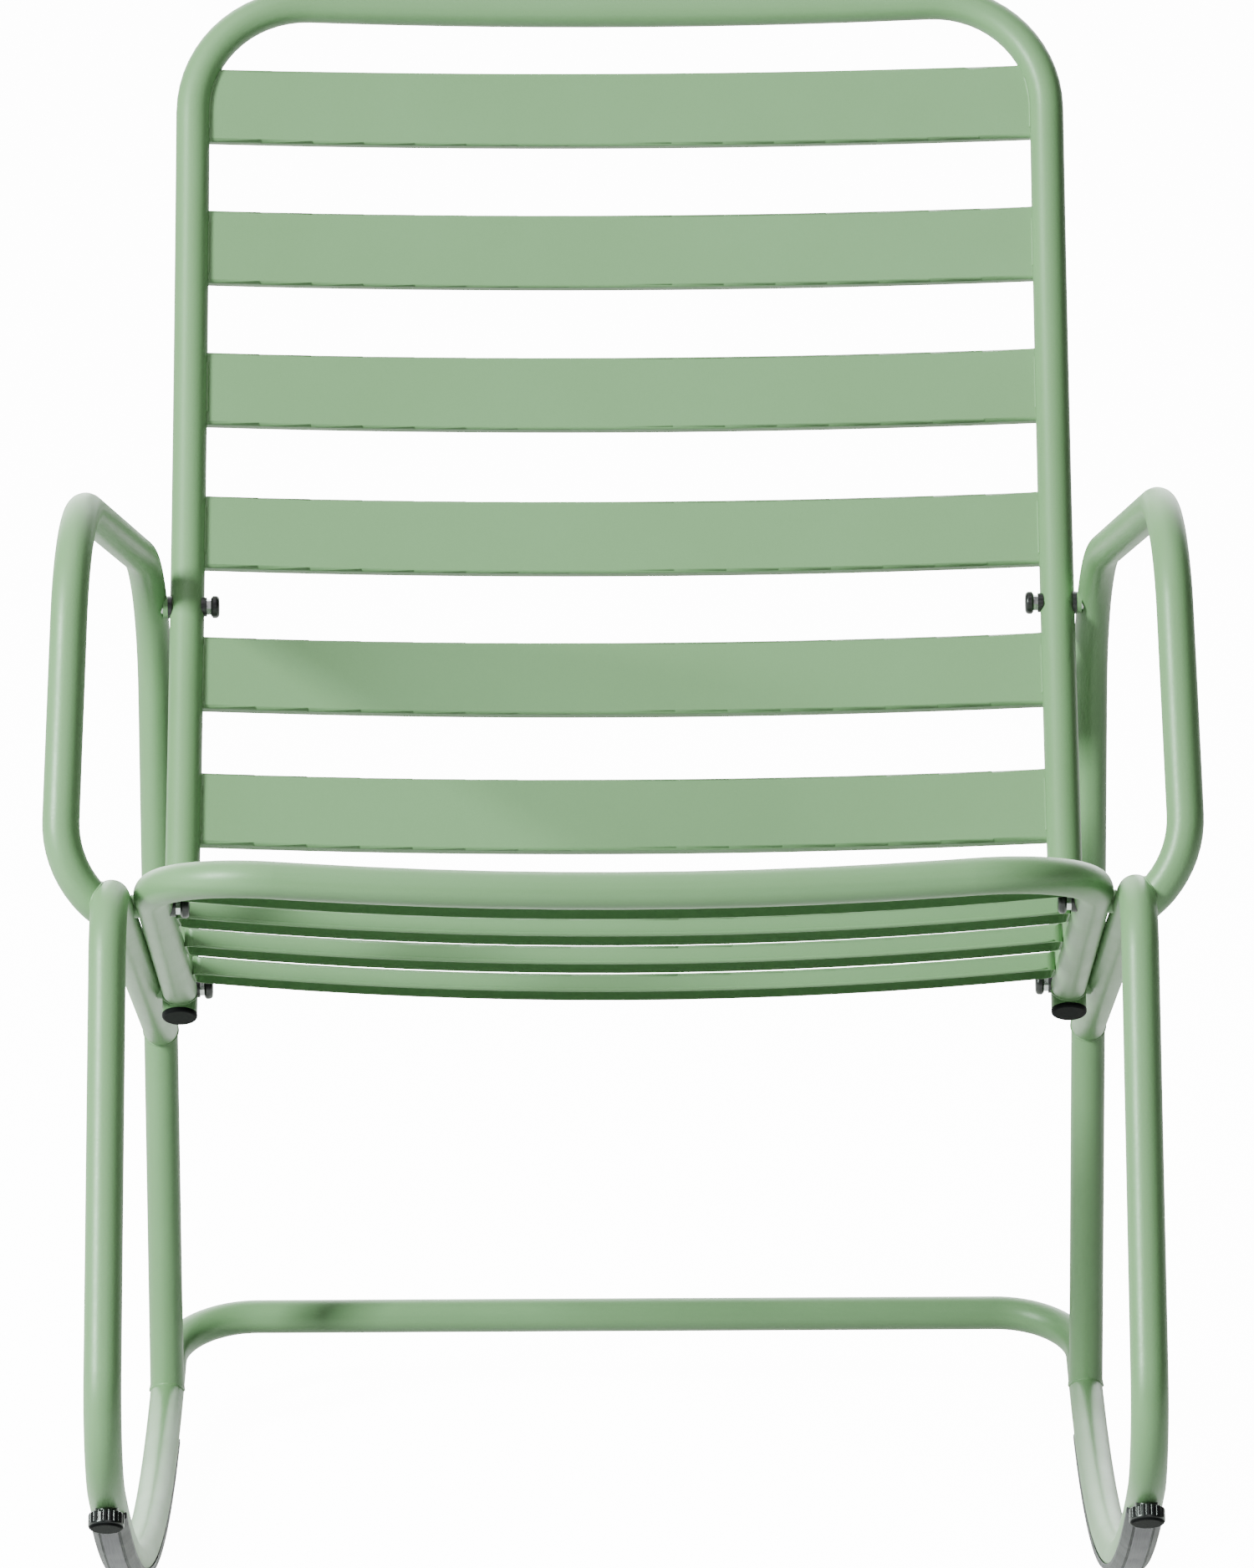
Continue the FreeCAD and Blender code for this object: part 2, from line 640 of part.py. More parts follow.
# swept in short arcs, so that the running face stays round under the chair
turn_step = (STRIP_REAR_DEG - STRIP_FRONT_DEG) / STRIP_STEPS
chunks = []
for i in range(STRIP_STEPS):
    fi = f0.copy()
    fi.rotate(P(SIDE_X, *CENTRE), V(1, 0, 0), turn_step * i)
    ch = fi.revolve(P(SIDE_X, *CENTRE), V(1, 0, 0), turn_step)
    if ch.Volume < 0:
        ch.reverse()
    chunks.append(ch)
strip = biggest(chunks[0].multiFuse(chunks[1:]))
node("right_glide_strip", strip)
node("left_glide_strip", mirror(strip))

# ---------------------------------------------------------------------------
# ribbed bumpers on the foot bends
# ---------------------------------------------------------------------------
b0 = bumper_base + bd * (TUBE_R + 0.6)
disc_h = BUMPER_H - 0.6
body = Part.makeCylinder(BUMPER_R, disc_h, b0, bd)
face_rim = [e for e in body.Edges if e.Curve.TypeId == "Part::GeomCircle"
            and e.BoundBox.Center.sub(b0).dot(bd) > 4.0]
body = body.makeFillet(2.4, face_rim)
base_rim = [e for e in body.Edges if e.Curve.TypeId == "Part::GeomCircle"
            and abs(e.BoundBox.Center.sub(b0).dot(bd)) < 0.1]
body = body.makeFillet(1.5, base_rim)
side_v = V(1, 0, 0)
up_v = bd.cross(side_v)
grooves = []
for i in range(22):
    a = 2 * math.pi * i / 22
    g = b0 + side_v * ((BUMPER_R + 0.45) * math.cos(a)) + up_v * ((BUMPER_R + 0.45) * math.sin(a))
    grooves.append(Part.makeCylinder(1.0, disc_h - 1.6, g - bd * 1.0, bd))
body = biggest(body.cut(Part.makeCompound(grooves)))
# neck that sits on the tube, and the stem in its hole
neck = biggest(Part.makeCylinder(7.0, 6.0, bumper_base + bd * (TUBE_R - 4.0), bd).cut(side_cope))
stem = Part.makeCylinder(2.9, 12.0, bumper_base + bd * (TUBE_R - 7.0), bd)
body = body.fuse(neck)
bumper = biggest(body.fuse(stem))
node("right_front_bumper", bumper)
node("left_front_bumper", mirror(bumper))

# ---------------------------------------------------------------------------
# plugs in the lower ends of the back tube
# ---------------------------------------------------------------------------
pe = P(SEAT_X, *BACK_END)
pd = D(0, -b_lo.y, -b_lo.z)          # out of the tube end
flange = Part.makeCylinder(TUBE_R + 0.1, 2.8, pe, pd)
fe = [e for e in flange.Edges if e.Curve.TypeId == "Part::GeomCircle"
      and e.BoundBox.Center.sub(pe).dot(pd) > 2.0]
flange = flange.makeFillet(1.6, fe)
stem = Part.makeCylinder(BORE_R - 0.9, 16.0, pe - pd * 15.0, pd)
fins = [Part.makeCylinder(BORE_R - 0.08, 1.2, pe - pd * (3.5 + 3.2 * k), pd) for k in range(4)]
plug = biggest(flange.fuse([stem] + fins))
node("right_back_tube_plug", plug)
node("left_back_tube_plug", mirror(plug))

# ---------------------------------------------------------------------------
# bolts, washers, caps, saddle bosses and pads
# ---------------------------------------------------------------------------
IN_X = SEAT_X - TUBE_R               # inner crest of the seat and back tubes


def hexagon(x, y, z, across, dx):
    r = across / math.sqrt(3)
    pts = [P(x, y, z) + V(0, r * math.cos(k * math.pi / 3), r * math.sin(k * math.pi / 3))
           for k in range(7)]
    return Part.Face(Part.makePolygon(pts)).extrude(V(dx, 0, 0))


def outer_edge(shape, x_side):
    return [e for e in shape.Edges if e.Curve.TypeId == "Part::GeomCircle"
            and x_side(e.BoundBox.Center.x)]


BOSS_R = 7.0
PAD_R = 7.2
bolts, washers, caps, inserts, pads = [], [], [], [], []
spacers = {}
for key, (y, z), outer in (("back", BOLT_BACK, arm_cope), ("seat_rear", BOLT_REAR, side_cope),
                           ("seat_front", BOLT_FRONT, side_cope)):
    # inner crest of the side tube where the bolt enters it
    probe = Part.makeCylinder(3.0, 30.0, P(280.0, y, z), V(1, 0, 0)).common(
        arm_out if key == "back" else side_out)
    ex = probe.BoundBox.XMin
    # threaded insert with a thin flange
    ins = Part.makeCylinder(INSERT_D / 2, 12.0, P(ex - 0.2, y, z), V(1, 0, 0))
    lip = Part.makeCylinder(5.2, 0.3, P(ex - 0.4, y, z), V(1, 0, 0))
    ins = ins.fuse(lip).cut(cyl_x(ex - 3.0, ex + 14.0, y, z, BOLT_D / 2 + 0.04))
    inserts.append(biggest(ins))
    # black saddle washer on the tube, bolt with a tall hexagon head, domed black cap over the head
    inner = [seat_cope] if key == "seat_front" else [back_cope]
    if key == "seat_rear":
        inner.append(seat_cope)
    wx = IN_X - 1.6
    ring = Part.makeCylinder(6.2, 3.4, P(wx, y, z), V(1, 0, 0)).cut(
        cyl_x(wx - 1.0, wx + 6.0, y, z, HOLE_D / 2 - 0.1))
    for q in inner:
        ring = ring.cut(q)
    washers.append(biggest(ring))
    hd = hexagon(wx - 0.01, y, z, 9.0, -6.6)
    shank = Part.makeCylinder(BOLT_D / 2, ex + 9.0 - wx + 0.02, P(wx - 0.02, y, z), V(1, 0, 0))
    tip = Part.makeCone(BOLT_D / 2, BOLT_D / 2 - 0.8, 1.0, P(ex + 9.0, y, z), V(1, 0, 0))
    bolts.append(biggest(hd.fuse([shank, tip])))
    cap = Part.makeCylinder(7.2, 5.2, P(wx - 2.8, y, z), V(-1, 0, 0))
    cap = cap.makeFillet(2.4, outer_edge(cap, lambda x: x < wx - 5.0))
    cap = cap.makeChamfer(1.2, outer_edge(cap, lambda x: x > wx - 3.0))
    cap = cap.cut(hexagon(wx + 1.0, y, z, 9.16, -7.7))
    caps.append(biggest(cap))
    # coated saddle boss on the side tube, hollowed for the insert's flange; at the back
    # a thin black saddle pad lies between the boss and the back tube
    crest = SEAT_X + TUBE_R
    x0 = crest - 2.6
    if key == "back":
        pad = Part.makeCylinder(PAD_R, 2.6, P(crest - 1.4, y, z), V(1, 0, 0)).cut(back_cope)
        pad = pad.cut(cyl_x(260, 330, y, z, HOLE_D / 2))
        pads.append(sorted([q for q in pad.Solids if q.CenterOfMass.x > SEAT_X],
                           key=lambda q: q.Volume)[-1])
        x0 = crest + 1.22
    sp_ = Part.makeCylinder(BOSS_R, ex + 2.6 - x0, P(x0, y, z), V(1, 0, 0))
    sp_ = sp_.cut(cyl_x(260, 330, y, z, HOLE_D / 2))
    for q in inner:
        sp_ = sp_.cut(q)
    sp_ = sp_.cut(outer)
    sp_ = sp_.cut(cyl_x(ex - 0.5, 330, y, z, 5.3))
    mid = [q for q in sp_.Solids if SEAT_X < q.CenterOfMass.x < SIDE_X]
    spacers[key] = sorted(mid, key=lambda q: q.Volume)[-1]
    print(key, "ex", round(ex, 3), "crest", round(crest, 3),
          "boss pieces", [round(q.Volume, 1) for q in sp_.Solids])


def both(solids):
    return solids + [mirror(q) for q in solids]


node("frame_bolts", *both(bolts))
node("bolt_washers", *both(washers))
node("bolt_caps", *both(caps))
node("threaded_inserts", *both(inserts))
for key in spacers:
    node("%s_spacers" % key, *both([spacers[key]]))
node("back_saddle_pads", *both(pads))

tot = None
for k, s in NODES.items():
    b = s.BoundBox
    tot = FreeCAD.BoundBox(b) if tot is None else tot.united(b)
print("nodes", len(NODES), "box", [round(q, 2) for q in (tot.XMin, tot.XMax, tot.YMin, tot.YMax,
                                                         tot.ZMin, tot.ZMax)])
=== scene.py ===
import bpy, bmesh, json, math, random
from mathutils import Vector, Matrix


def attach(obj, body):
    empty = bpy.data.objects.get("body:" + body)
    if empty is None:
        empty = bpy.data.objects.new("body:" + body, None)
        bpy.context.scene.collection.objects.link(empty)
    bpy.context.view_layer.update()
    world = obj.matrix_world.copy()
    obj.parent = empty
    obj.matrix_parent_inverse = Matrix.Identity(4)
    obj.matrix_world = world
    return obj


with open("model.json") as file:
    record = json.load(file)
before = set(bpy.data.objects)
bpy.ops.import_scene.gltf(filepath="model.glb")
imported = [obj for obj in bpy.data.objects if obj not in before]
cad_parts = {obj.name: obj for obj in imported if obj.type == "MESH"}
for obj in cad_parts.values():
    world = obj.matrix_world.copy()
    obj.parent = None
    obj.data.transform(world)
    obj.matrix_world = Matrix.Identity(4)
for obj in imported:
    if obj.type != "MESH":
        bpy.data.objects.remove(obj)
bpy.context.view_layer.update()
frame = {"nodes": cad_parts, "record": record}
nodes = frame["nodes"]
random.seed(7)

# ---------------------------------------------------------------------------
# the side-view drawing of the chair, in millimetres, and its place in the frame
# ---------------------------------------------------------------------------
TILT = math.radians(12.47)
Y0, ROCK_Y, ROLL_R, ROCKER_R = 63.56, 25.0, 864.5, 850.0
TUBE = 11.0
SIDE_X, SEAT_X = 300.15, 277.55
C, S = math.cos(TILT), math.sin(TILT)


def P(x, y, z):
    """Drawing point (X, back, up) in mm to a frame point in metres."""
    dy, dz = y - ROCK_Y, z - ROLL_R
    return Vector((x, dy * C + dz * S + Y0, ROLL_R - dy * S + dz * C)) * 0.001


def D(x, y, z):
    return Vector((x, y * C + z * S, -y * S + z * C)).normalized()


# ---------------------------------------------------------------------------
# materials
# ---------------------------------------------------------------------------
class Mat:
    """Small helper around one node tree."""

    def __init__(self, name):
        self.m = bpy.data.materials.new(name)
        self.m.use_nodes = True
        self.t = self.m.node_tree
        self.t.nodes.clear()
        self.out = self.t.nodes.new("ShaderNodeOutputMaterial")
        self.b = self.t.nodes.new("ShaderNodeBsdfPrincipled")
        self.t.links.new(self.b.outputs[0], self.out.inputs[0])
        tc = self.t.nodes.new("ShaderNodeTexCoord")
        self.co = tc.outputs["Object"]

    def node(self, kind, **props):
        n = self.t.nodes.new(kind)
        for k, v in props.items():
            setattr(n, k, v)
        return n

    def link(self, a, b):
        self.t.links.new(a, b)

    def noise(self, scale, detail=2.0, rough=0.5, vec=None, distortion=0.0):
        n = self.node("ShaderNodeTexNoise")
        n.inputs["Scale"].default_value = scale
        n.inputs["Detail"].default_value = detail
        n.inputs["Roughness"].default_value = rough
        n.inputs["Distortion"].default_value = distortion
        self.link(vec if vec is not None else self.co, n.inputs["Vector"])
        return n.outputs["Fac"]

    def ramp(self, fac, stops):
        r = self.node("ShaderNodeValToRGB")
        els = r.color_ramp.elements
        while len(els) < len(stops):
            els.new(0.5)
        for e, (p, c) in zip(els, stops):
            e.position = p
            e.color = (c[0], c[1], c[2], 1.0)
        self.link(fac, r.inputs[0])
        return r.outputs[0]

    def span(self, fac, a0, a1, b0, b1):
        n = self.node("ShaderNodeMapRange")
        for k, v in zip(("From Min", "From Max", "To Min", "To Max"), (a0, a1, b0, b1)):
            n.inputs[k].default_value = v
        self.link(fac, n.inputs["Value"])
        return n.outputs[0]

    def math(self, op, a, b=None):
        n = self.node("ShaderNodeMath", operation=op)
        for i, v in enumerate((a, b)):
            if v is None:
                continue
            if isinstance(v, (int, float)):
                n.inputs[i].default_value = v
            else:
                self.link(v, n.inputs[i])
        return n.outputs[0]

    def mix(self, fac, a, b, kind="MIX"):
        n = self.node("ShaderNodeMix", data_type="RGBA", blend_type=kind)
        if isinstance(fac, float):
            n.inputs[0].default_value = fac
        else:
            self.link(fac, n.inputs[0])
        for i, v in ((6, a), (7, b)):
            if isinstance(v, tuple):
                n.inputs[i].default_value = (v[0], v[1], v[2], 1.0)
            else:
                self.link(v, n.inputs[i])
        return n.outputs[2]

    def bump(self, height, distance, strength=1.0, after=None):
        n = self.node("ShaderNodeBump")
        n.inputs["Distance"].default_value = distance
        n.inputs["Strength"].default_value = strength
        self.link(height, n.inputs["Height"])
        if after is not None:
            self.link(after, n.inputs["Normal"])
        return n.outputs[0]


GREEN = (0.212, 0.388, 0.182)


def shade(c, k, tint=(1.0, 1.0, 1.0)):
    return tuple(min(1.0, v * k * t) for v, t in zip(c, tint))


def powder_coat(name, grain=1.0):
    """Satin powder coat: slow colour drift, fine speckle, orange peel."""
    q = Mat(name)
    slow = q.noise(5.0, 3.0, 0.55)
    col = q.ramp(slow, [(0.30, shade(GREEN, 0.955, (1.0, 1.0, 0.985))), (0.52, GREEN),
                        (0.72, shade(GREEN, 1.04, (1.0, 0.996, 1.01)))])
    fleck = q.noise(2300.0, 1.0, 0.4)
    fleck_c = q.ramp(fleck, [(0.30, (0.93, 0.93, 0.93)), (0.55, (1.0, 1.0, 1.0)),
                             (0.80, (1.045, 1.045, 1.045))])
    col = q.mix(0.55 * grain, col, fleck_c, "MULTIPLY")
    q.link(col, q.b.inputs["Base Color"])
    peel = q.noise(620.0, 2.0, 0.5)
    haze = q.noise(38.0, 3.0, 0.6)
    rough = q.math("ADD", q.span(peel, 0.3, 0.7, 0.40, 0.46), q.span(haze, 0.3, 0.7, -0.035, 0.035))
    q.link(rough, q.b.inputs["Roughness"])
    n1 = q.bump(peel, 0.00012, 0.55 * grain)
    n2 = q.bump(fleck, 0.00003, 0.35 * grain, n1)
    q.link(n2, q.b.inputs["Normal"])
    q.b.inputs["Specular IOR Level"].default_value = 0.55
    q.b.inputs["Specular Tint"].default_value = (0.84, 1.0, 0.86, 1.0)
    q.b.inputs["Coat Weight"].default_value = 0.10
    q.b.inputs["Coat Roughness"].default_value = 0.30
    return q.m


def black_plastic(name, shine=0.5, rough=(0.26, 0.36), shaded_face_dir=None):
    """Moulded plastic; the face that points along the given direction loses its reflection: painted shade,
    standing in for the shaded floor that face would mirror.
    """
    q = Mat(name)
    n = q.noise(900.0, 3.0, 0.6)
    m = q.noise(45.0, 3.0, 0.6)
    col = q.ramp(m, [(0.3, (0.010, 0.010, 0.011)), (0.7, (0.019, 0.019, 0.020))])
    q.link(col, q.b.inputs["Base Color"])
    q.link(q.span(m, 0.3, 0.7, rough[0], rough[1]), q.b.inputs["Roughness"])
    q.link(q.bump(n, 0.00006, 0.6), q.b.inputs["Normal"])
    q.b.inputs["Specular IOR Level"].default_value = shine
    if shaded_face_dir is not None:
        # painted shade: specular level falls to almost nothing on faces turned along this direction
        geo = q.node("ShaderNodeNewGeometry")
        dot = q.node("ShaderNodeVectorMath", operation="DOT_PRODUCT")
        q.link(geo.outputs["Normal"], dot.inputs[0])
        dot.inputs[1].default_value = shaded_face_dir
        q.link(q.span(dot.outputs["Value"], 0.3, 0.6, shine, 0.006), q.b.inputs["Specular IOR Level"])
    return q.m


def grey_strip(name):
    """Extruded plastic: fine lines along the rocker curve, scuffed running face; a lighter centre band as painted
    light, darker side wings and dark grooves as painted shade.
    """
    q = Mat(name)
    sep = q.node("ShaderNodeSeparateXYZ")
    q.link(q.co, sep.inputs[0])
    dy = q.math("SUBTRACT", sep.outputs[1], Y0 * 0.001)
    dz = q.math("SUBTRACT", sep.outputs[2], ROLL_R * 0.001)
    rad = q.math("SQRT", q.math("ADD", q.math("MULTIPLY", dy, dy), q.math("MULTIPLY", dz, dz)))
    ang = q.math("ARCTAN2", dy, q.math("MULTIPLY", dz, -1.0))
    comb = q.node("ShaderNodeCombineXYZ")
    q.link(sep.outputs[0], comb.inputs[0])
    q.link(rad, comb.inputs[1])
    q.link(q.math("MULTIPLY", ang, 0.02), comb.inputs[2])
    lines = q.noise(1500.0, 3.0, 0.6, comb.outputs[0])
    cloud = q.noise(60.0, 4.0, 0.6)
    col = q.ramp(lines, [(0.30, (0.110, 0.106, 0.117)), (0.55, (0.140, 0.135, 0.148)),
                         (0.75, (0.168, 0.163, 0.177))])
    scuff = q.ramp(cloud, [(0.35, (0.90, 0.90, 0.90)), (0.70, (1.05, 1.05, 1.05))])
    col = q.mix(0.7, col, scuff, "MULTIPLY")
    # lit and shaded copies of one plastic: a lighter copy on the centre band (painted light), a dark copy in the
    # two grooves and a darker copy on the side wings (painted shade)
    off = q.math("ABSOLUTE", q.math("SUBTRACT", q.math("ABSOLUTE", sep.outputs[0]), SIDE_X * 0.001))
    lit_band_copy = q.mix(1.0, col, (1.70, 1.58, 1.72), "MULTIPLY")
    groove_shade_copy = q.mix(1.0, col, (0.20, 0.20, 0.21), "MULTIPLY")
    side = q.mix(1.0, col, (0.50, 0.47, 0.50), "MULTIPLY")
    col = q.mix(q.span(off, 0.0049, 0.0051, 0.0, 1.0), lit_band_copy,
                q.mix(q.span(off, 0.0064, 0.0068, 0.0, 1.0), groove_shade_copy, side))
    q.link(col, q.b.inputs["Base Color"])
    q.link(q.span(cloud, 0.3, 0.7, 0.46, 0.60), q.b.inputs["Roughness"])
    q.b.inputs["Specular IOR Level"].default_value = 0.2
    q.link(q.bump(lines, 0.00008, 0.5), q.b.inputs["Normal"])
    return q.m


def zinc(name):
    q = Mat(name)
    n = q.noise(420.0, 3.0, 0.6)
    m = q.noise(1800.0, 2.0, 0.5)
    col = q.ramp(n, [(0.3, (0.52, 0.53, 0.55)), (0.7, (0.70, 0.70, 0.70))])
    q.link(col, q.b.inputs["Base Color"])
    q.b.inputs["Metallic"].default_value = 1.0
    q.link(q.span(n, 0.3, 0.7, 0.24, 0.38), q.b.inputs["Roughness"])
    q.link(q.bump(m, 0.00003, 0.5), q.b.inputs["Normal"])
    return q.m


MATS = {
    "green_coat": powder_coat("green_powder_coat"),
    "black_plastic": black_plastic("black_moulded_plastic"),
    "grey_strip": grey_strip("grey_extruded_plastic"),
    "zinc_hardware": zinc("zinc_plated_steel"),
}
MATT_BLACK = black_plastic("black_matt_plastic", 0.03, (0.42, 0.52))
# the bumper's lower front face is cut dull: painted shade for the shaded floor it would mirror
BUMPER_BLACK = black_plastic("black_bumper_plastic", 0.55, (0.20, 0.30), (0.0, -0.570, -0.821))
for sub in frame["record"]["subparts"]:
    o = nodes[sub["node"]]
    o.data.materials.clear()
    o.data.materials.append(MATT_BLACK if sub["node"].endswith("_plug") else
                            BUMPER_BLACK if sub["node"].endswith("_bumper") else MATS[sub["material_slot"]])
    for p in o.data.polygons:
        p.use_smooth = True
    o.data.set_sharp_from_angle(angle=math.radians(32))


# ---------------------------------------------------------------------------
# weld beads
# ---------------------------------------------------------------------------
def bead(name, pts, normals, radius, ripple=0.10, pitch=0.0021, closed=False, sides=10, wobble=0.06):
    """Weld bead swept along points: a round section with small overlapping ripples."""
    n = len(pts)
    run = [0.0]
    for i in range(1, n):
        run.append(run[-1] + (pts[i] - pts[i - 1]).length)
    bm = bmesh.new()
    rings = []
    for i in range(n):
        a = pts[(i - 1) % n] if (closed or i > 0) else pts[i]
        b = pts[(i + 1) % n] if (closed or i < n - 1) else pts[i]
        t = (b - a).normalized()
        u = (normals[i] - t * normals[i].dot(t)).normalized()
        v = t.cross(u)
        ph = (run[i] / pitch) % 1.0
        k = 1.0 + ripple * (1.0 - abs(2.0 * ph - 1.0)) + wobble * math.sin(run[i] * 700.0 + 1.3)
        if not closed:
            e = min(i, n - 1 - i) / max(1.0, 0.05 * n)
            k *= 0.35 + 0.65 * min(1.0, e) ** 0.5
        rings.append([bm.verts.new(pts[i] + (u * math.cos(w) + v * math.sin(w)) * radius * k)
                      for w in (2 * math.pi * j / sides for j in range(sides))])
    m = n if closed else n - 1
    for i in range(m):
        r0, r1 = rings[i], rings[(i + 1) % n]
        for j in range(sides):
            bm.faces.new((r0[j], r0[(j + 1) % sides], r1[(j + 1) % sides], r1[j]))
    if not closed:
        bm.faces.new(list(reversed(rings[0])))
        bm.faces.new(rings[-1])
    bmesh.ops.recalc_face_normals(bm, faces=bm.faces)
    me = bpy.data.meshes.new(name)
    bm.to_mesh(me)
    bm.free()
    for p in me.polygons:
        p.use_smooth = True
    me.materials.append(MATS["green_coat"])
    o = bpy.data.objects.new(name, me)
    bpy.context.scene.collection.objects.link(o)
    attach(o, "root")
    return o


def nearest(line, q):
    """Distance from q to a sampled centreline, and the nearest point."""
    best = None
    for i in range(len(line) - 1):
        a, b = line[i], line[i + 1]
        ab = b - a
        k = max(0.0, min(1.0, (q - a).dot(ab) / ab.dot(ab)))
        c = a + ab * k
        d = (q - c).length
        if best is None or d < best[0]:
            best = (d, c)
    return best


def near_part(line, q, reach):
    """The stretch of a centreline within reach of q."""
    keep = [p for p in line if (p - q).length < reach]
    return keep if len(keep) > 1 else line


def bend(a, b, c, r):
    """Centre and axes of the arc of radius r (m) that rounds the corner b."""
    d1, d2 = (b - a).normalized(), (c - b).normalized()
    ang = math.acos(max(-1.0, min(1.0, d1.dot(d2))))
    p1 = b - d1 * (r * math.tan(ang / 2))
    n = (d2 - d1 * d1.dot(d2)).normalized()
    return p1 + n * r, n, d1, ang, p1


def on_bend(data, r, q):
    ctr, n, d1 = data[:3]
    return ctr - n * (r * math.cos(q)) + d1 * (r * math.sin(q))


def straight(a, b, step=0.004):
    k = max(2, int((b - a).length / step))
    return [a.lerp(b, i / k) for i in range(k + 1)]


def path(pts, radii):
    """Sampled centreline: straight runs joined by tangent arcs (radii in mm)."""
    out, cur = [], pts[0]
    for i in range(1, len(pts) - 1):
        r = radii[i - 1] * 0.001
        d = bend(pts[i - 1], pts[i], pts[i + 1], r)
        out += straight(cur, d[4])[:-1]
        k = max(4, int(r * d[3] / 0.004))
        out += [on_bend(d, r, d[3] * j / k) for j in range(k + 1)]
        cur = out.pop()
    return out + straight(cur, pts[-1])


def cope_curve(line, other, r=TUBE * 0.001, r_other=TUBE * 0.001, count=80):
    """Where a tube along line (its last point inside the other tube) meets the other tube."""
    tang = [(line[min(i + 1, len(line) - 1)] - line[max(i - 1, 0)]).normalized()
            for i in range(len(line))]
    u = Vector((1, 0, 0)) if abs(tang[0].x) < 0.8 else Vector((0, 1, 0))
    frames = []
    for t in tang:
        u = (u - t * u.dot(t)).normalized()
        frames.append((u.copy(), t.cross(u)))
    local = near_part(other, line[-1], 0.06)
    pts, nor = [], []
    for j in range(count):
        w = 2 * math.pi * j / count
        found, low = None, None
        for i, c0 in enumerate(line):
            rim = frames[i][0] * math.cos(w) + frames[i][1] * math.sin(w)
            q = c0 + rim * r
            d, c = nearest(local, q)
            if d <= r_other + 0.00005:
                found = (q, c, rim)
                break
            if low is None or d < low[0]:
                low = (d, q, c, rim)
        q, c, rim = found if found else low[1:]
        pts.append(q)
        nor.append((rim + (q - c).normalized()).normalized())
    # even out the stair steps of the search
    for _ in range(3):
        pts = [(pts[j - 1] + pts[j] * 2 + pts[(j + 1) % count]) / 4 for j in range(count)]
    return pts, nor


def fine(a, b, step=0.0004):
    return straight(a, b, step)


def rocker(deg):
    a = math.radians(deg)
    return (ROCK_Y + ROCKER_R * math.sin(a), ROLL_R - ROCKER_R * math.cos(a))


REAR_PT, REAR_LEAN = (279.0, 522.0), -0.2207
RAIL_PT, RAIL_SLOPE = (-177.0, 413.4), -0.172
LEG_PT, LEG_LEAN = (-272.0, 353.6), 0.2777


def rear_y(z):
    return REAR_PT[0] + REAR_LEAN * (z - REAR_PT[1])


def leg_y(z):
    return LEG_PT[0] + LEG_LEAN * (z - LEG_PT[1])


def rail_z(y):
    return RAIL_PT[1] + RAIL_SLOPE * (y - RAIL_PT[0])


def solve(f, lo, hi):
    for _ in range(70):
        mid = 0.5 * (lo + hi)
        if f(lo) * f(mid) <= 0:
            hi = mid
        else:
            lo = mid
    return 0.5 * (lo + hi)


z_foot = solve(lambda z: math.hypot(rear_y(z) - ROCK_Y, z - ROLL_R) - ROCKER_R, 40.0, 200.0)
z_join = solve(lambda z: z - rail_z(rear_y(z)), 280.0, 380.0)
z_top = solve(lambda z: z - rail_z(leg_y(z)), 380.0, 480.0)
SEAT_FRONT, SEAT_SLOPE = (-268.0, 435.5), -0.199
BACK_END, BACK_MID, BACK_TOP = (118.0, 343.2), (279.6, 668.0), (367.0, 997.2)
blx, blz = BACK_MID[0] - BACK_END[0], BACK_MID[1] - BACK_END[1]
# seat rail line meets the back tube line
y_seat = solve(lambda y: (SEAT_FRONT[1] + SEAT_SLOPE * (y - SEAT_FRONT[0]))
               - (BACK_END[1] + blz / blx * (y - BACK_END[0])), 60.0, 260.0)


def seat_z(y):
    return SEAT_FRONT[1] + SEAT_SLOPE * (y - SEAT_FRONT[0])


ARM_V = ((300.35, 256.1, 625.9), (323.1, -186.6, 654.9), (330.1, -238.2, 422.3), (306.0, -227.0, 412.5))
ARM_R3, ARM_END_X = 56.7, 302.1
bt = Vector((0, BACK_TOP[0] - BACK_MID[0], BACK_TOP[1] - BACK_MID[1])).normalized()
bow = (BACK_TOP[0] + bt.z * 30.0, BACK_TOP[1] - bt.y * 30.0)
lo_dir = Vector((0, blx, blz)).normalized()
CURVE_R = 255.0 / math.tan(math.acos(bt.dot(lo_dir)) / 2)
back_line = path([P(SEAT_X, *BACK_END), P(SEAT_X, *BACK_MID), P(SEAT_X, *BACK_TOP), P(0, *bow)],
                 [CURVE_R, 76.0])
seat_n = Vector((0, -SEAT_SLOPE, 1.0)).normalized()
front_bow = (SEAT_FRONT[0] - seat_n.y * 18.5, SEAT_FRONT[1] - seat_n.z * 18.5)
seat_line = path([P(SEAT_X, y_seat, seat_z(y_seat)), P(SEAT_X, *SEAT_FRONT), P(0, *front_bow)], [74.0])
side_line = path([P(SIDE_X, rear_y(z_join), z_join), P(SIDE_X, leg_y(z_top), z_top),
                  P(SIDE_X, leg_y(200.0), 200.0)], [44.0])


def flip(v, sx):
    return Vector((v.x * sx, v.y, v.z))


def both(name, pts, nrm, radius, **kw):
    for side, sx in (("right", 1.0), ("left", -1.0)):
        bead(name + "_" + side, [flip(v, sx) for v in pts], [flip(v, sx) for v in nrm], radius, **kw)


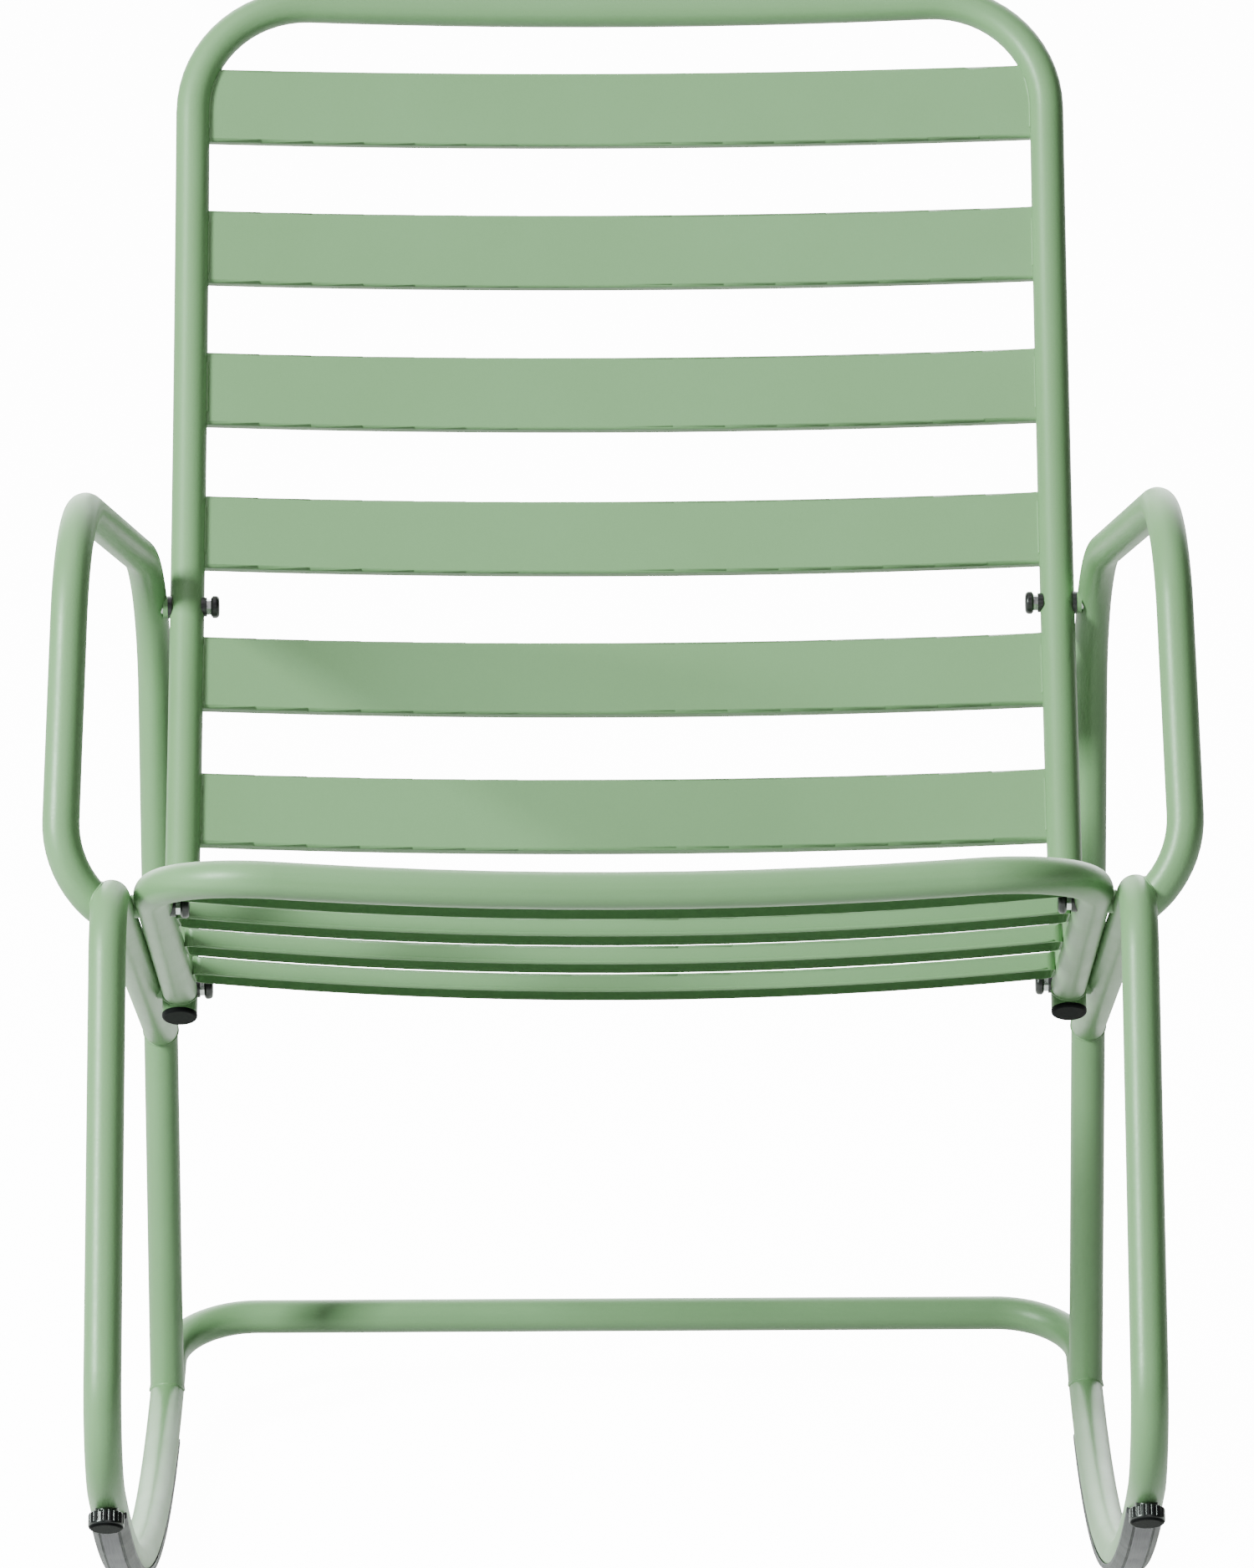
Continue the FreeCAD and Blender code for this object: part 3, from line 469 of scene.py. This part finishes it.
rock_line = [P(SIDE_X, *rocker(16.0 + 0.4 * i)) for i in range(29)]
foot = P(SIDE_X, rear_y(z_foot), z_foot)
both("weld_rear_foot", *cope_curve(fine(P(SIDE_X, rear_y(z_foot + 30.0), z_foot + 30.0), foot),
                                   rock_line), 0.0008, closed=True)
rear_line = [P(SIDE_X, rear_y(z), z) for z in range(220, 460, 10)]
both("weld_seat_support", *cope_curve(fine(P(SIDE_X, rear_y(z_join) - 40.0, z_join + 40.0 * -RAIL_SLOPE),
                                           P(SIDE_X, rear_y(z_join), z_join)), rear_line),
     0.0008, closed=True)
both("weld_seat_rail", *cope_curve(fine(P(SEAT_X, y_seat - 45.0, seat_z(y_seat - 45.0)),
                                        P(SEAT_X, y_seat, seat_z(y_seat))), back_line), 0.0008,
     closed=True)
av = [P(*v) for v in ARM_V]
arm_bend = bend(av[1], av[2], av[3], ARM_R3 * 0.001)
q_end = solve(lambda q: on_bend(arm_bend, ARM_R3 * 0.001, q).x * 1000.0 - ARM_END_X, 0.3, arm_bend[3])
arm_end = [on_bend(arm_bend, ARM_R3 * 0.001, q_end * k / 150.0) for k in range(60, 151)]
both("weld_arm_front", *cope_curve(arm_end, side_line), 0.0008, closed=True)


# ---------------------------------------------------------------------------
# slat ends: fillet welds, uneven in length
# ---------------------------------------------------------------------------
def along_back(s):
    """Drawing point and direction at a length s (mm) up the back tube."""
    e0, em = Vector((0, *BACK_END)), Vector((0, *BACK_MID))
    d1 = (em - e0).normalized()
    ang = math.acos(d1.dot(bt))
    l1 = (em - e0).length - 255.0
    if s <= l1:
        return e0 + d1 * s, d1
    n = (bt - d1 * d1.dot(bt)).normalized()
    ctr = e0 + d1 * l1 + n * CURVE_R
    q = min((s - l1) / CURVE_R, ang)
    p = ctr - n * (CURVE_R * math.cos(q)) + d1 * (CURVE_R * math.sin(q))
    if (s - l1) / CURVE_R > ang:
        p = p + bt * (s - l1 - CURVE_R * ang)
    return p, d1 * math.cos(q) + n * math.sin(q)


def end_weld(name, org, u, w, half, line, radius, sx):
    """Runs along u at a slat's end, on the face that looks along w."""
    pts, nor = [], []
    k = 30
    for i in range(k + 1):
        s = -half + 2 * half * i / k
        base = org + u * s
        local = near_part(line, base + Vector((0.27, 0, 0)), 0.09)
        lo, hi = 0.18, 0.29
        for _ in range(28):
            mid = 0.5 * (lo + hi)
            q = Vector((mid, base.y, base.z))
            if nearest(local, q)[0] > TUBE * 0.001:
                lo = mid
            else:
                hi = mid
        q = Vector((lo, base.y, base.z))
        c = nearest(local, q)[1]
        pts.append(flip(q, sx))
        nor.append(flip(((q - c).normalized() + w).normalized(), sx))
    bead(name, pts, nor, radius, ripple=0.16, pitch=0.0026)


BACK_SLATS = (142.9, 238.0, 335.9, 435.3, 533.2, 630.4)
for i in range(6):
    q, t = along_back(BACK_SLATS[5 - i])
    u = D(0, t.y, t.z)
    w = D(0, -t.z, t.y)            # towards the front
    org = P(0, q.y, q.z) + w * 0.0020
    for side, sx in (("right", 1.0), ("left", -1.0)):
        half = 0.0205 * random.uniform(0.82, 1.0)
        shift = u * random.uniform(-0.0015, 0.0015)
        end_weld("weld_back_slat_%d_%s" % (i + 1, side), org + shift, u, w, half, back_line,
                 0.0010 * random.uniform(0.9, 1.25), sx)

SEAT_SLATS = (71.0, 159.0, 254.0, 351.0)
sd = Vector((0, 1.0, SEAT_SLOPE)).normalized()
for i in range(4):
    d = SEAT_SLATS[i]
    u = D(0, sd.y, sd.z)
    w = D(0, seat_n.y, seat_n.z)
    org = P(0, SEAT_FRONT[0] + sd.y * d, SEAT_FRONT[1] + sd.z * d) + w * 0.0082
    for side, sx in (("right", 1.0), ("left", -1.0)):
        half = 0.0150 * random.uniform(0.85, 1.0)
        end_weld("weld_seat_slat_%d_%s" % (i + 1, side), org, u, w, half, seat_line,
                 0.0010 * random.uniform(0.9, 1.2), sx)

# rolled lower edge along the front flange of each seat slat
BOW, FLANGE_FRONT, SLAT_FACE, SLAT_W = 12.8, 11.5, 10.0, 46.0
half_span = SEAT_X - TUBE
bow_r = (half_span * half_span + BOW * BOW) / (2.0 * BOW)
for i in range(4):
    d = SEAT_SLATS[i]
    u = D(0, sd.y, sd.z)
    w = D(0, -seat_n.y, -seat_n.z)
    org = P(0, SEAT_FRONT[0] + sd.y * d, SEAT_FRONT[1] + sd.z * d) + w * ((BOW - SLAT_FACE) * 0.001)
    axis = org - w * (bow_r * 0.001)
    r = (bow_r + FLANGE_FRONT - 1.0) * 0.001
    reach = math.asin((half_span - 6.5) / bow_r)
    pts, nor = [], []
    for k in range(121):
        q = -reach + 2.0 * reach * k / 120
        pts.append(axis - u * ((SLAT_W / 2.0 + 0.15) * 0.001) + w * (r * math.cos(q))
                   + Vector((r * math.sin(q), 0.0, 0.0)))
        nor.append(w)
    bead("rolled_edge_seat_slat_%d" % (i + 1), pts, nor, 0.00115, ripple=0.0, wobble=0.0, sides=14)


# ---------------------------------------------------------------------------
# floor, light, camera
# ---------------------------------------------------------------------------
def floor_material():
    q = Mat("pale_floor")
    n = q.noise(3.0, 3.0, 0.5)
    pale = q.ramp(n, [(0.3, (0.90, 0.90, 0.90)), (0.7, (0.93, 0.93, 0.93))])
    rays = q.node("ShaderNodeLightPath")
    q.link(q.mix(rays.outputs["Is Diffuse Ray"], pale, (0.24, 0.24, 0.24)), q.b.inputs["Base Color"])
    q.b.inputs["Roughness"].default_value = 0.9
    q.b.inputs["Specular IOR Level"].default_value = 0.1
    q.link(q.mix(rays.outputs["Is Camera Ray"], (0.95, 1.0, 0.92), (1.0, 1.0, 1.0)), q.b.inputs["Emission Color"])
    glow = q.math("ADD", q.math("MULTIPLY", rays.outputs["Is Camera Ray"], 14.0),
                  q.math("MULTIPLY", rays.outputs["Is Glossy Ray"], 1.25))
    q.link(glow, q.b.inputs["Emission Strength"])
    return q.m


bm = bmesh.new()
for x, y in ((-30, -30), (30, -30), (30, 30), (-30, 30)):
    bm.verts.new((x, y, 0.0))
bm.faces.new(bm.verts)
me = bpy.data.meshes.new("floor")
bm.to_mesh(me)
bm.free()
me.materials.append(floor_material())
floor = bpy.data.objects.new("floor", me)
bpy.context.scene.collection.objects.link(floor)

WORLD_LOW, WORLD_BACK = 0.02, 7.2
world = bpy.data.worlds.new("studio")
bpy.context.scene.world = world
world.use_nodes = True
wt = world.node_tree
bg = wt.nodes["Background"]
bg.inputs[0].default_value = (0.93, 1.0, 0.95, 1.0)
# a pale wall far behind, dark studio on the other sides
sky = wt.nodes.new("ShaderNodeTexCoord")
sep = wt.nodes.new("ShaderNodeSeparateXYZ")
wt.links.new(sky.outputs["Generated"], sep.inputs[0])
wall = wt.nodes.new("ShaderNodeMapRange")
wall.inputs["From Min"].default_value = 0.25
wall.inputs["From Max"].default_value = 0.95
wall.inputs["To Min"].default_value = 0.0
wall.inputs["To Max"].default_value = WORLD_BACK
wt.links.new(sep.outputs[1], wall.inputs["Value"])
flank = wt.nodes.new("ShaderNodeMath")
flank.operation = "ABSOLUTE"
wt.links.new(sep.outputs[0], flank.inputs[0])
narrow = wt.nodes.new("ShaderNodeMapRange")
for k, v in (("From Min", 0.35), ("From Max", 0.75), ("To Min", 1.0), ("To Max", 0.0)):
    narrow.inputs[k].default_value = v
wt.links.new(flank.outputs[0], narrow.inputs["Value"])
level = wt.nodes.new("ShaderNodeMath")
level.operation = "MULTIPLY"
wt.links.new(wall.outputs[0], level.inputs[0])
wt.links.new(narrow.outputs[0], level.inputs[1])
sheen = wt.nodes.new("ShaderNodeMath")
sheen.operation = "MULTIPLY_ADD"
wt.links.new(level.outputs[0], sheen.inputs[0])
wt.links.new(wt.nodes.new("ShaderNodeLightPath").outputs["Is Glossy Ray"], sheen.inputs[1])
sheen.inputs[2].default_value = WORLD_LOW
wt.links.new(sheen.outputs[0], bg.inputs[1])


def area(name, loc, target, size, power, size_y=None, tint=(1.0, 1.0, 1.0)):
    d = bpy.data.lights.new(name, "AREA")
    d.energy = power
    d.color = tint
    d.size = size
    if size_y:
        d.shape = "RECTANGLE"
        d.size_y = size_y
    o = bpy.data.objects.new(name, d)
    bpy.context.scene.collection.objects.link(o)
    o.location = loc
    o.rotation_euler = (Vector(target) - Vector(loc)).to_track_quat("-Z", "Y").to_euler()
    return o


area("key", (-3.65, -2.6, 2.8), (0, 0, 0.5), 0.8, 450.0, 1.5, (0.91, 1.06, 0.97))
area("top", (-0.5, -0.4, 3.2), (0, 0, 0.4), 2.2, 25.0)
area("front", (1.0, -4.4, 2.7), (0, 0, 0.5), 3.0, 42.0)

cam_d = bpy.data.cameras.new("camera")
cam = bpy.data.objects.new("camera", cam_d)
bpy.context.scene.collection.objects.link(cam)
cam_d.sensor_fit = "HORIZONTAL"
cam_d.sensor_width = 36.0
cam_d.lens = 252.0
cam_d.clip_end = 100.0
look = D(0, 1, 0)
up = D(0, 0, 1)
right = Vector((1, 0, 0))
roll = math.radians(0.3)
r_c = right * math.cos(roll) - up * math.sin(roll)
u_c = right * math.sin(roll) + up * math.cos(roll)
rot = Matrix((r_c, u_c, -look)).transposed()
cam.matrix_world = Matrix.Translation(P(2.4, -5362.0, 485.5)) @ rot.to_4x4()
bpy.context.scene.camera = cam
